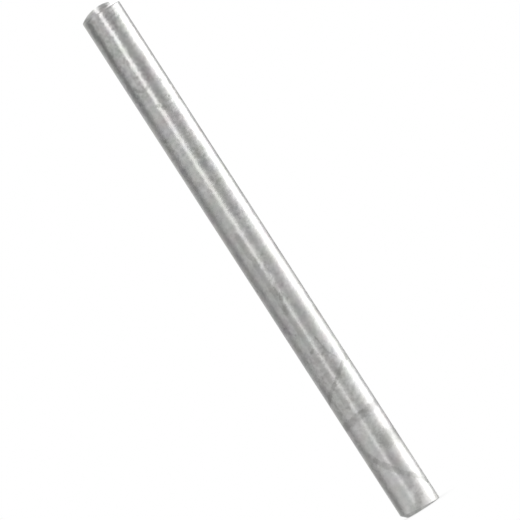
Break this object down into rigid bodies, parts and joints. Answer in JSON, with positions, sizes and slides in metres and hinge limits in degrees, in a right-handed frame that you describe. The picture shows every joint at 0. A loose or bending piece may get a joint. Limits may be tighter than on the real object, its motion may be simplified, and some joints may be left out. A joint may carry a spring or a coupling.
{
  "type": "chain pin",
  "caption": "Straight round steel chain pin with a crowned lead-in end and a flat, chamfered end; it joins the links of a chain.",
  "frame": {"origin": "centre of the flat end, on the pin's axis", "axes": "+Z along the pin's axis from the flat end to the crowned end; -X towards the widest side of the off-centre chamfer"},
  "size_m": [0.006, 0.006, 0.083],
  "materials": {
    "ground_steel": "bright ground steel, a little dulled, with handling scuffs and a few dark specks"
  },
  "bodies": {
    "root": {"chain_pin": "ground_steel"}
  },
  "joints": []
}
